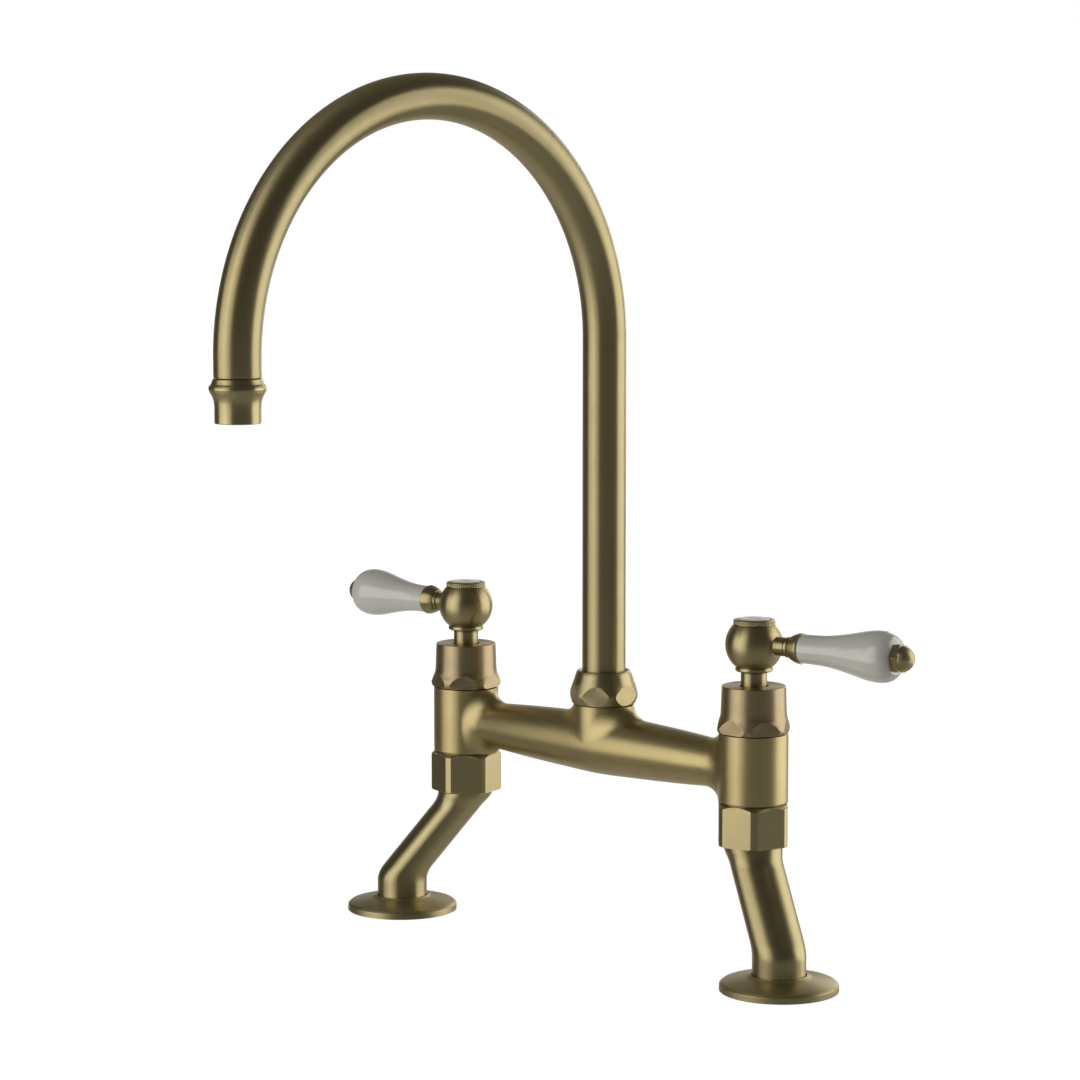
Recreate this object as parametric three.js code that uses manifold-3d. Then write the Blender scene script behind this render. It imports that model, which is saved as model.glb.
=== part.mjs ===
// Bridge kitchen faucet: two quarter-turn valve pillars joined by a hollow
// bridge, a swivelling swan-neck spout, lever handles with ceramic grips, and
// two cranked legs that stand on deck flanges. Millimetres, +Z up, the spout
// points to -Y, the deck plane is z = 0.
import * as THREE from "three";
import { mergeVertices } from "three/addons/utils/BufferGeometryUtils.js";
import Module from "manifold-3d";

// ---------------------------------------------------------------- dimensions
const CENTRE_X = -0.52; // the footprint box's centre, seen from the spout axis
const CENTRE_Y = -113.81;
const PILLAR_X = 101.5; // spout axis to pillar axis: 203 between the pillars
const BRIDGE_Z = 101.5; // height of the bridge's waterway axis
const PILLAR_R = 17.0;
const PILLAR_BOTTOM = 85.6;
const PILLAR_TOP = 119.7;
const SPIGOT_R = 15.4; // threaded spigot under each pillar
const SPIGOT_BOTTOM = 76.0;
const WATERWAY_R = 6.5;

const TUBE_R = 11.0; // spout tube, 22 outside diameter
const TUBE_BORE_R = 9.4;
const TUBE_BOTTOM = 131.0;
const ARCH_Z = 307.2; // centre height of the semicircular arch
const REACH = 237.7; // spout axis to outlet axis
const TUBE_OUTLET_Z = 298.5;
const OUTLET_Z = 277.8;

const FOOT_OFFSET = 34.2; // crank of each leg, centre to centre
const LEFT_LEG_DEG = 225; // where each leg's crank points, seen from above
const RIGHT_LEG_DEG = -26;
const LEG_R = 13.05;
const LEG_BORE_R = 8.6;
const CRANK_TOP = 62.2; // heights of the two bends of the crank
const CRANK_BOTTOM = 19.6;
const FLANGE_R = 28.9;

const LEVER_Z = 163.2; // height of the lever axis
const BALL_Z = 162.95; // and of the ball's centre
const BALL_R = 14.1;
const LEFT_LEVER_DEG = 180.4; // lever directions with both valves shut
const RIGHT_LEVER_DEG = 8.8;

const NUT_FLAT = 16.85; // half the size across the flats of the union nuts
const NUT_CORNER_R = 18.4;
const SEG = 16; // facets round the visible turned pieces
const FINE = 24; // and round pairs that turn in each other
const COARSE = 14; // and round hidden pieces

// ------------------------------------------------------------------- tooling
const wasm = await Module();
wasm.setup();

// A closed geometry as a solid that can be cut and joined.
function solid(geometry) {
  const bare = geometry.index ? geometry.toNonIndexed() : geometry;
  const clean = new THREE.BufferGeometry().setAttribute(
    "position",
    bare.getAttribute("position"),
  );
  const merged = mergeVertices(clean, 1e-4);
  const index = merged.index.array;
  const kept = [];
  for (let i = 0; i < index.length; i += 3) {
    const [a, b, c] = [index[i], index[i + 1], index[i + 2]];
    if (a !== b && b !== c && a !== c) kept.push(a, b, c);
  }
  const make = (list) =>
    new wasm.Manifold(
      new wasm.Mesh({
        numProp: 3,
        vertProperties: new Float32Array(merged.attributes.position.array),
        triVerts: new Uint32Array(list),
      }),
    );
  const made = make(kept);
  if (made.volume() > 0) return made;
  for (let i = 0; i < kept.length; i += 3)
    [kept[i + 1], kept[i + 2]] = [kept[i + 2], kept[i + 1]];
  return make(kept);
}

function geometryOf(made) {
  const m = made.getMesh();
  const position = new Float32Array(m.numVert * 3);
  for (let i = 0; i < m.numVert; i++)
    position.set(
      m.vertProperties.subarray(i * m.numProp, i * m.numProp + 3),
      i * 3,
    );
  const g = new THREE.BufferGeometry()
    .setAttribute("position", new THREE.BufferAttribute(position, 3))
    .setIndex(new THREE.BufferAttribute(new Uint32Array(m.triVerts), 1));
  g.computeVertexNormals();
  return g;
}

// Turned shape about Z from [radius, height] pairs. A profile that doesn't
// start and end on the axis is closed on itself.
function turned(profile, segments = SEG) {
  const points = profile.map(([r, z]) => new THREE.Vector2(r, z));
  const last = profile[profile.length - 1];
  if (profile[0][0] > 0 || last[0] > 0) points.push(points[0].clone());
  return new THREE.LatheGeometry(points, segments).rotateX(Math.PI / 2);
}

const ring = (inner, outer, low, high, segments = SEG) =>
  turned(
    [
      [outer, low],
      [outer, high],
      [inner, high],
      [inner, low],
    ],
    segments,
  );

const rod = (r, low, high, segments = SEG) =>
  turned(
    [
      [0, low],
      [r, low],
      [r, high],
      [0, high],
    ],
    segments,
  );

// Hexagonal prism about Z. faceDeg is the direction of one flat.
function hexagon(halfFlat, low, high, faceDeg) {
  const g = new THREE.CylinderGeometry(
    halfFlat / Math.cos(Math.PI / 6),
    halfFlat / Math.cos(Math.PI / 6),
    high - low,
    6,
  ).rotateX(Math.PI / 2);
  // the prism's corners start at +Y, so its flats face 0, 60, 120 ... degrees
  return g
    .rotateZ(THREE.MathUtils.degToRad(faceDeg))
    .translate(0, 0, (low + high) / 2);
}

const block = (x, y, z, px, py, pz) =>
  new THREE.BoxGeometry(x, y, z).translate(px, py, pz);

// Moves each height of an upright shape sideways along dir, so its horizontal
// sections stay round while its axis is cranked.
function cranked(geometry, dirDeg) {
  const p = geometry.getAttribute("position");
  const a = THREE.MathUtils.degToRad(dirDeg);
  const bend = 2.2; // half height of each rounded bend
  const slope = FOOT_OFFSET / (CRANK_TOP - CRANK_BOTTOM);
  const ramp = (z, at) => {
    // 0 above the bend, rising with the slope below it
    const t = at - z;
    if (t <= -bend) return 0;
    if (t >= bend) return slope * t;
    return (slope * (t + bend) ** 2) / (4 * bend);
  };
  for (let i = 0; i < p.count; i++) {
    const z = p.getZ(i);
    const off = ramp(z, CRANK_TOP) - ramp(z, CRANK_BOTTOM);
    p.setX(i, p.getX(i) + off * Math.cos(a));
    p.setY(i, p.getY(i) + off * Math.sin(a));
  }
  return geometry;
}

// ----------------------------------------------------------------- materials
const finish = (color, roughness, metalness) =>
  new THREE.MeshStandardMaterial({ color, roughness, metalness });
const BRASS = () => finish(0xa8965f, 0.36, 1.0);
const BRONZE = () => finish(0xa38a66, 0.38, 1.0);
const RAW_BRASS = () => finish(0xb5a064, 0.45, 1.0);
const PORCELAIN = () => finish(0xd9d6cb, 0.12, 0.0);
const CERAMIC = () => finish(0xefece4, 0.3, 0.0);
const RUBBER = () => finish(0x1c1c1c, 0.8, 0.0);
const FIBRE = () => finish(0x7c2f24, 0.85, 0.0);
const NYLON = () => finish(0xe6e2d6, 0.5, 0.0);
const STEEL = () => finish(0xb9bbbd, 0.35, 1.0);

const faucet = new THREE.Group();
const moved = new THREE.Group();
moved.position.set(-CENTRE_X, -CENTRE_Y, 0);
faucet.add(moved);

function put(parent, name, made, material) {
  const mesh = new THREE.Mesh(
    made instanceof THREE.BufferGeometry
      ? geometryOf(solid(made))
      : geometryOf(made),
    material,
  );
  mesh.name = name;
  parent.add(mesh);
  return mesh;
}

// -------------------------------------------------------------------- bridge
{
  const arms = turned(
    [
      [0, -PILLAR_X],
      [11.4, -PILLAR_X],
      [11.5, -84],
      [12.65, -64],
      [14.2, -35],
      [15.4, 0],
      [14.2, 35],
      [12.65, 64],
      [11.5, 84],
      [11.4, PILLAR_X],
      [0, PILLAR_X],
    ],
    SEG,
  )
    .rotateY(Math.PI / 2)
    .translate(0, 0, BRIDGE_Z);
  const neck = turned([
    [0, BRIDGE_Z],
    [15.4, BRIDGE_Z],
    [15.4, 114],
    [15.0, 122.2],
    [13.2, 122.3],
    [13.2, 127.5],
    [0, 127.5],
  ]);
  let body = solid(arms).add(solid(neck));
  for (const side of [-1, 1]) {
    const pillar = turned([
      [0, SPIGOT_BOTTOM],
      [SPIGOT_R, SPIGOT_BOTTOM],
      [SPIGOT_R, PILLAR_BOTTOM],
      [PILLAR_R, PILLAR_BOTTOM],
      [PILLAR_R, PILLAR_TOP],
      [0, PILLAR_TOP],
    ]).translate(side * PILLAR_X, 0, 0);
    body = body.add(solid(pillar));
  }
  // waterway along the bridge, then the valve chamber and seat in each pillar
  body = body.subtract(
    solid(
      rod(WATERWAY_R, -PILLAR_X, PILLAR_X, 12)
        .rotateY(Math.PI / 2)
        .translate(0, 0, BRIDGE_Z),
    ),
  );
  for (const side of [-1, 1]) {
    body = body.subtract(
      solid(
        turned(
          [
            [0, SPIGOT_BOTTOM - 1],
            [9, SPIGOT_BOTTOM - 1],
            [9, 90],
            [5.5, 90],
            [5.5, 97],
            [10, 97],
            [10, PILLAR_TOP + 1],
            [0, PILLAR_TOP + 1],
          ],
          SEG,
        ).translate(side * PILLAR_X, 0, 0),
      ),
    );
  }
  // spout socket down to the mixing chamber
  body = body.subtract(solid(rod(9.1, 103.5, 128.5, FINE)));
  body = body.subtract(solid(rod(6.5, 96, 104, 12)));
  put(moved, "bridge_body", body, BRASS());
}

// --------------------------------------------------------------------- spout
{
  const spout = new THREE.Group();
  moved.add(spout);
  const radius = REACH / 2;
  // the spout's centre line in equal steps of its parameter: one up the riser,
  // one for every 7.5 degrees of the arch, one down to the outlet
  const ARCH_STEPS = 24;
  class CentreLine extends THREE.Curve {
    getPoint(t, target = new THREE.Vector3()) {
      const step = t * (ARCH_STEPS + 2);
      if (step <= 1)
        return target.set(0, 0, TUBE_BOTTOM + step * (ARCH_Z - TUBE_BOTTOM));
      if (step >= ARCH_STEPS + 1)
        return target.set(
          0,
          -REACH,
          ARCH_Z + (step - ARCH_STEPS - 1) * (TUBE_OUTLET_Z - ARCH_Z),
        );
      const a = (Math.PI * (step - 1)) / ARCH_STEPS;
      return target.set(
        0,
        -radius + radius * Math.cos(a),
        ARCH_Z + radius * Math.sin(a),
      );
    }
    getPointAt(u, target) {
      return this.getPoint(u, target);
    }
    getTangentAt(u, target = new THREE.Vector3()) {
      const step = u * (ARCH_STEPS + 2);
      const a =
        Math.PI * THREE.MathUtils.clamp((step - 1) / ARCH_STEPS, 0, 1);
      return target.set(0, -Math.sin(a), Math.cos(a));
    }
  }
  const round = (r, sides) => {
    const outline = [];
    for (let i = 0; i < sides; i++) {
      const a = (2 * Math.PI * i) / sides;
      outline.push(new THREE.Vector2(r * Math.cos(a), r * Math.sin(a)));
    }
    return new THREE.Shape(outline);
  };
  const along = (r, sides) =>
    new THREE.ExtrudeGeometry(round(r, sides), {
      steps: ARCH_STEPS + 2,
      extrudePath: new CentreLine(),
      bevelEnabled: false,
    });
  // the bore starts and ends a little outside the tube, so both ends are open
  const bore = solid(along(TUBE_BORE_R, 12))
    .add(solid(rod(TUBE_BORE_R - 0.1, TUBE_BOTTOM - 1, TUBE_BOTTOM + 6, 12)))
    .add(
      solid(
        rod(
          TUBE_BORE_R - 0.1,
          TUBE_OUTLET_Z - 1,
          TUBE_OUTLET_Z + 5,
          12,
        ).translate(0, -REACH, 0),
      ),
    );
  put(spout, "spout_tube", solid(along(TUBE_R, 16)).subtract(bore), BRASS());

  put(
    spout,
    "spout_tail",
    turned(
      [
        [8.7, 105.5],
        [8.7, 107.2],
        [7.0, 107.2],
        [7.0, 109.4],
        [8.7, 109.4],
        [8.7, 114.2],
        [7.0, 114.2],
        [7.0, 116.4],
        [8.7, 116.4],
        [8.7, 127.8],
        [12.6, 127.8],
        [12.6, 130.6],
        [8.6, 130.6],
        [8.6, 148],
        [6.0, 148],
        [6.0, 105.5],
      ],
      SEG,
    ),
    RAW_BRASS(),
  );
  for (const [name, low] of [
    ["spout_oring_lower", 107.5],
    ["spout_oring_upper", 114.5],
  ])
    put(
      spout,
      name,
      turned(
        [
          [7.3, low + 0.8],
          [7.6, low + 0.1],
          [8.4, low + 0.1],
          [8.7, low + 0.8],
          [8.4, low + 1.5],
          [7.6, low + 1.5],
        ],
        SEG,
      ),
      RUBBER(),
    );
  const outlet = new THREE.Group();
  outlet.position.set(0, -REACH, 0);
  spout.add(outlet);
  put(
    outlet,
    "outlet_nozzle",
    turned(
      [
        [10.4, OUTLET_Z],
        [10.65, OUTLET_Z + 0.4],
        [10.6, 286.5],
        [11.2, 289.2],
        [12.9, 292.0],
        [13.3, 293.4],
        [12.9, 294.8],
        [11.6, 296.2],
        [11.3, 298.2],
        [8.6, 298.2],
        [8.6, 306],
        [7.2, 306],
        [7.2, 291],
        [9.4, 291],
        [9.4, OUTLET_Z],
      ],
      SEG,
    ),
    BRASS(),
  );
  put(
    outlet,
    "aerator_housing",
    turned([
      [9.0, 278.2],
      [9.0, 290.6],
      [6.4, 290.6],
      [6.4, 289.2],
      [7.9, 289.2],
      [7.9, 278.2],
    ]),
    NYLON(),
  );
  // perforated outlet plate inside the housing
  const circle = (r, sides, cx = 0, cy = 0) => {
    const points = [];
    for (let i = 0; i < sides; i++) {
      const a = (2 * Math.PI * i) / sides;
      points.push(
        new THREE.Vector2(cx + r * Math.cos(a), cy + r * Math.sin(a)),
      );
    }
    return points;
  };
  const plate = new THREE.Shape(circle(7.5, SEG));
  for (const [n, r] of [
    [1, 0],
    [5, 2.7],
    [9, 5.4],
  ])
    for (let i = 0; i < n; i++) {
      const a = (2 * Math.PI * i) / n;
      plate.holes.push(
        new THREE.Path(circle(0.9, 5, r * Math.cos(a), r * Math.sin(a))),
      );
    }
  const perforated = new THREE.ExtrudeGeometry(plate, {
    depth: 1.2,
    bevelEnabled: false,
  }).translate(0, 0, 279.4);
  put(outlet, "aerator_screen", perforated, STEEL());
}

// ---------------------------------------------- swivel collar under the spout
{
  const collar = solid(
    turned(
      [
        [15.75, 122.6],
        [16.7, 124.6],
        [17.3, 126.8],
        [17.3, 128.2],
        [15.9, 132.0],
        [14.3, 137.2],
        [13.6, 139.1],
        [13.2, 139.4],
        [11.5, 139.4],
        [11.5, 134.5],
        [13.5, 134.5],
        [13.5, 122.6],
      ],
      FINE,
    ),
  ).intersect(solid(hexagon(15.85, 122, 140, -1)));
  put(moved, "spout_collar_nut", collar, BRASS());
  put(moved, "swivel_washer", ring(11.45, 13.1, 130.95, 134.15, FINE), NYLON());
}

// ---------------------------------------------------------- valves and levers
function valve(side, prefix, bellFace, leverDeg, acornFace) {
  const fixed = new THREE.Group();
  fixed.position.set(side * PILLAR_X, 0, 0);
  moved.add(fixed);
  const turning = new THREE.Group();
  const lever = THREE.MathUtils.degToRad(leverDeg);
  turning.position.copy(fixed.position);
  turning.rotation.z = lever;
  moved.add(turning);

  // bell-shaped shroud with six flats milled in its flared foot
  const bell = solid(
    turned(
      [
        [17.5, 120.1],
        [18.3, 122.2],
        [17.9, 123.3],
        [16.8, 126.3],
        [16.05, 129.2],
        [15.65, 141.8],
        [15.0, 142.8],
        [7.25, 142.8],
        [7.25, 138.6],
        [13.4, 138.6],
        [13.4, 120.1],
      ],
      SEG,
    ),
  ).intersect(solid(hexagon(16.5, 119, 144, bellFace)));
  put(fixed, prefix + "_bell_shroud", bell, BRONZE());

  // cartridge: cage with two outflow windows, thread, then hexagon head
  let cartridge = solid(
    turned([
      [8.0, 98.9],
      [8.0, 108.2],
      [9.5, 108.2],
      [9.5, 120.0],
      [12.9, 120.0],
      [12.9, 127.6],
      [8.6, 127.6],
      [8.6, 137.4],
      [5.0, 137.4],
      [5.0, 108.0],
      [6.7, 108.0],
      [6.7, 98.9],
    ], 16),
  );
  cartridge = cartridge.subtract(
    solid(block(7, 24, 3.6, 0, 0, 106).rotateZ(lever)),
  );
  put(fixed, prefix + "_cartridge_body", cartridge, RAW_BRASS());
  put(fixed, prefix + "_seat_seal", ring(5.6, 8.4, 97.3, 98.6, COARSE), RUBBER());
  // discs with two opposite ports: crossed when shut, in line after 90 degrees
  const disc = (low, high, turn) => {
    const ports = solid(block(3.2, 3.2, 6, 3.3, 0, low)).add(
      solid(block(3.2, 3.2, 6, -3.3, 0, low)),
    );
    return solid(
      geometryOf(
        solid(rod(6.2, low, high, COARSE)).subtract(
          solid(geometryOf(ports)),
        ),
      ).rotateZ(turn),
    );
  };
  put(fixed, prefix + "_fixed_disc", disc(99.2, 101.4, lever), CERAMIC());
  put(
    turning,
    prefix + "_turning_disc",
    disc(101.7, 103.9, Math.PI / 2),
    CERAMIC(),
  );

  // spindle: drive bar that leaves the ports open, shaft, spline, screw hole
  const spindle = solid(
    turned(
      [
        [0, 106.2],
        [4.6, 106.2],
        [4.6, 137.8],
        [3.5, 137.8],
        [3.5, 158.4],
        [2.1, 158.4],
        [2.1, 149.5],
        [0, 149.5],
      ],
      COARSE,
    ),
  ).add(solid(block(11.6, 2.6, 2.6, 0, 0, 105.5)));
  put(turning, prefix + "_valve_spindle", spindle, RAW_BRASS());

  // hub: hollow stem, bead and ball, open at the top for the handle screw
  const ball = [];
  for (const z of [152.6, 155.4, 159.1, 162.95, 166.9, 170.3, 172.6])
    ball.push([Math.sqrt(BALL_R ** 2 - (z - BALL_Z) ** 2), z]);
  let hub = solid(
    turned([
      [6.4, 139.4],
      [6.4, 149.9],
      [9.1, 150.2],
      [9.1, 152.0],
      ...ball,
      [7.4, 172.6],
      [7.4, 167.2],
      [2.1, 167.2],
      [2.1, 158.8],
      [3.9, 158.8],
      [3.9, 139.4],
    ]),
  );
  const toLever = (g) => g.rotateY(Math.PI / 2).translate(0, 0, LEVER_Z);
  hub = hub.subtract(solid(toLever(rod(3.5, 5.9, 16, 12))));
  put(turning, prefix + "_handle_hub", hub, BRASS());

  const screw = solid(
    turned(
      [
        [0, 149.9],
        [1.7, 149.9],
        [1.7, 167.5],
        [3.6, 167.5],
        [3.6, 169.5],
        [0, 169.5],
      ],
      12,
    ),
  ).subtract(solid(block(9, 1, 2, 0, 0, 169.5)));
  put(turning, prefix + "_handle_screw", screw, STEEL());

  put(
    turning,
    prefix + "_index_ring",
    turned([
      [9.95, 172.9],
      [10.2, 173.1],
      [10.2, 174.9],
      [9.6, 175.3],
      [8.05, 175.5],
      [8.05, 173.7],
      [6.0, 173.7],
      [6.0, 169.8],
      [7.0, 169.8],
      [7.0, 172.9],
    ]),
    BRASS(),
  );
  put(
    turning,
    prefix + "_index_disc",
    turned([
      [0, 174.0],
      [7.75, 174.0],
      [7.75, 175.2],
      [7.4, 175.55],
      [0, 175.88],
    ]),
    PORCELAIN(),
  );

  // lever: neck and ferrule, grip, rod through the grip, acorn nut
  let neck = solid(
    turned(
      [
        [0, 10],
        [4.6, 10],
        [4.6, 19.1],
        [5.1, 19.4],
        [5.1, 20.7],
        [5.35, 21.4],
        [6.8, 24.3],
        [7.55, 26.7],
        [7.6, 27.6],
        [2.3, 27.6],
        [2.3, 17.0],
        [0, 17.0],
      ],
      SEG,
    ),
  );
  neck = neck.subtract(solid(new THREE.SphereGeometry(14.65, SEG, 12)));
  neck = neck.add(solid(rod(3.15, 6.4, 15, 12)));
  put(
    turning,
    prefix + "_lever_neck",
    toLever(geometryOf(neck)),
    BRASS(),
  );
  put(
    turning,
    prefix + "_lever_grip",
    toLever(
      turned([
        [7.0, 27.9],
        [7.27, 38],
        [8.12, 46],
        [9.57, 54],
        [11.33, 62],
        [12.34, 68.4],
        [12.35, 73],
        [11.4, 76.7],
        [9.4, 79.0],
        [7.4, 79.6],
        [2.4, 79.6],
        [2.4, 27.9],
      ]),
    ),
    PORCELAIN(),
  );
  put(
    turning,
    prefix + "_lever_tie_rod",
    toLever(rod(1.9, 17.4, 84.2, 10)),
    STEEL(),
  );
  const acorn = solid(
    turned([
      [7.5, 79.9],
      [7.5, 83.0],
      [6.4, 83.2],
      [6.0, 84.6],
      [4.9, 86.4],
      [3.0, 87.9],
      [0, 88.6],
      [0, 84.6],
      [2.3, 84.6],
      [2.3, 79.9],
    ]),
  ).intersect(solid(hexagon(6.5, 79, 90, acornFace)));
  put(turning, prefix + "_acorn_nut", toLever(geometryOf(acorn)), BRASS());
}
valve(-1, "left", 12.9, LEFT_LEVER_DEG, 9);
valve(1, "right", -29.1, RIGHT_LEVER_DEG, -9);

// ---------------------------------------------- unions, cranked legs, flanges
function support(side, prefix, nutFace, legDeg) {
  const top = new THREE.Group();
  top.position.set(side * PILLAR_X, 0, 0);
  moved.add(top);
  const nut = solid(
    turned([
      [17.9, 64.8],
      [NUT_CORNER_R, 65.3],
      [NUT_CORNER_R, 83.0],
      [16.6, 85.2],
      [15.8, 85.2],
      [15.8, 68.0],
      [14.8, 68.0],
      [14.8, 64.8],
    ]),
  ).intersect(solid(hexagon(NUT_FLAT, 64, 86, nutFace)));
  put(top, prefix + "_union_nut", nut, BRASS());
  put(top, prefix + "_union_washer", ring(9.4, 15.0, 74.0, 75.7), FIBRE());
  const leg = cranked(
    turned([
      [LEG_R, 0.6],
      [LEG_R, 17.4],
      [LEG_R, 19.6],
      [LEG_R, 21.8],
      [LEG_R, 56.4],
      [13.9, 60.8],
      [14.3, 62.6],
      [14.4, 64.6],
      [14.4, 68.3],
      [15.3, 68.3],
      [15.3, 73.7],
      [LEG_BORE_R, 73.7],
      [LEG_BORE_R, 64.4],
      [LEG_BORE_R, 62.2],
      [LEG_BORE_R, 60.0],
      [LEG_BORE_R, 21.8],
      [LEG_BORE_R, 19.6],
      [LEG_BORE_R, 18.0],
      [10.3, 17.0],
      [10.3, 0.6],
    ]),
    legDeg,
  );
  put(top, prefix + "_cranked_leg", leg, BRASS());

  const foot = new THREE.Group();
  const a = THREE.MathUtils.degToRad(legDeg);
  foot.position.set(
    side * PILLAR_X + FOOT_OFFSET * Math.cos(a),
    FOOT_OFFSET * Math.sin(a),
    0,
  );
  moved.add(foot);
  put(
    foot,
    prefix + "_deck_flange",
    turned(
      [
        [FLANGE_R, 0],
        [28.6, 3.3],
        [27.9, 3.9],
        [22, 5.4],
        [16, 6.6],
        [13.5, 7.9],
        [13.5, 1.8],
        [26.6, 1.8],
        [26.6, 0],
      ],
      FINE,
    ),
    BRASS(),
  );
  put(foot, prefix + "_deck_gasket", ring(13.6, 26.1, 0, 1.5, FINE), RUBBER());
}
support(-1, "left", 13.2, LEFT_LEG_DEG);
support(1, "right", -15.4, RIGHT_LEG_DEG);

export default faucet;
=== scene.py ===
import math

import bpy
import bmesh
import numpy as np
from mathutils import Matrix, Vector


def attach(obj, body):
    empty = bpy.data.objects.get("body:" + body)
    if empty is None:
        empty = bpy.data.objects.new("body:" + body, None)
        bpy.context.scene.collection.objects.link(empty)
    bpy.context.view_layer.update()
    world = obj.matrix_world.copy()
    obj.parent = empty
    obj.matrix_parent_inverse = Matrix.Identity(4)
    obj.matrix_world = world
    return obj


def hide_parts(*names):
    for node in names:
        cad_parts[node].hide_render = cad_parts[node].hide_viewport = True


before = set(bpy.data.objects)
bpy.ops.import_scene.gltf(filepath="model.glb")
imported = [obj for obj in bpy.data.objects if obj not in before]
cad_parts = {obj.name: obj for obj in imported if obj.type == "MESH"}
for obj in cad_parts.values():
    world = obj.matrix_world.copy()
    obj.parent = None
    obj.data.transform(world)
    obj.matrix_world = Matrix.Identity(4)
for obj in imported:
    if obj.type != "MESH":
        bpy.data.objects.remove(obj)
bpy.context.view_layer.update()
fixed_body, spout_body = "fixed", "spout"

# Sizes in millimetres about the riser's axis, which stands at RISER in the
# part's frame. +X along the bridge, -Y to the front, +Z up.
RISER = np.array([0.52, 113.81, 0.0])
PILLAR_X = 101.5
BRIDGE_Z = 101.5
ARCH_Z = 307.2
REACH = 237.7
LEVER_Z = 163.2
FOOT_OFFSET = 34.2
LEGS = {"left": (-1, 225.0), "right": (1, -26.0)}
LEVERS = {"left": 180.4, "right": 8.8}
TAU = 2 * math.pi


# --------------------------------------------------------------- materials
def node(tree, kind, **values):
    n = tree.nodes.new(kind)
    for k, v in values.items():
        if k in n.inputs:
            n.inputs[k].default_value = v
        else:
            setattr(n, k, v)
    return n


def new_material(name):
    m = bpy.data.materials.new(name)
    m.use_nodes = True
    t = m.node_tree
    t.nodes.clear()
    out = t.nodes.new("ShaderNodeOutputMaterial")
    b = t.nodes.new("ShaderNodeBsdfPrincipled")
    t.links.new(b.outputs[0], out.inputs[0])
    return m, t, b


def scaled(t, source, scale):
    n = node(t, "ShaderNodeVectorMath", operation="MULTIPLY")
    n.inputs[1].default_value = scale
    t.links.new(source, n.inputs[0])
    return n.outputs[0]


def noise(t, source, scale, detail=2.0, rough=0.55):
    n = node(t, "ShaderNodeTexNoise", noise_dimensions="3D")
    n.inputs["Scale"].default_value = 1.0
    n.inputs["Detail"].default_value = detail
    n.inputs["Roughness"].default_value = rough
    t.links.new(scaled(t, source, scale), n.inputs["Vector"])
    return n.outputs[0]


def math_node(t, operation, a, b=None, clamp=False):
    n = node(t, "ShaderNodeMath", operation=operation, use_clamp=clamp)
    for i, v in enumerate((a, b)):
        if v is None:
            continue
        if isinstance(v, (int, float)):
            n.inputs[i].default_value = v
        else:
            t.links.new(v, n.inputs[i])
    return n.outputs[0]


def mapped(t, source, low, high, to_low, to_high):
    n = node(t, "ShaderNodeMapRange", clamp=True)
    n.inputs["From Min"].default_value = low
    n.inputs["From Max"].default_value = high
    n.inputs["To Min"].default_value = to_low
    n.inputs["To Max"].default_value = to_high
    t.links.new(source, n.inputs["Value"])
    return n.outputs["Result"]


def mixed(t, factor, a, b):
    n = node(t, "ShaderNodeMix", data_type="RGBA")
    t.links.new(factor, n.inputs[0])
    for socket, v in ((6, a), (7, b)):
        if isinstance(v, tuple):
            n.inputs[socket].default_value = (*v, 1)
        else:
            t.links.new(v, n.inputs[socket])
    return n.outputs[2]


def attribute(t, name):
    return node(t, "ShaderNodeAttribute", attribute_name=name)


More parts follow.
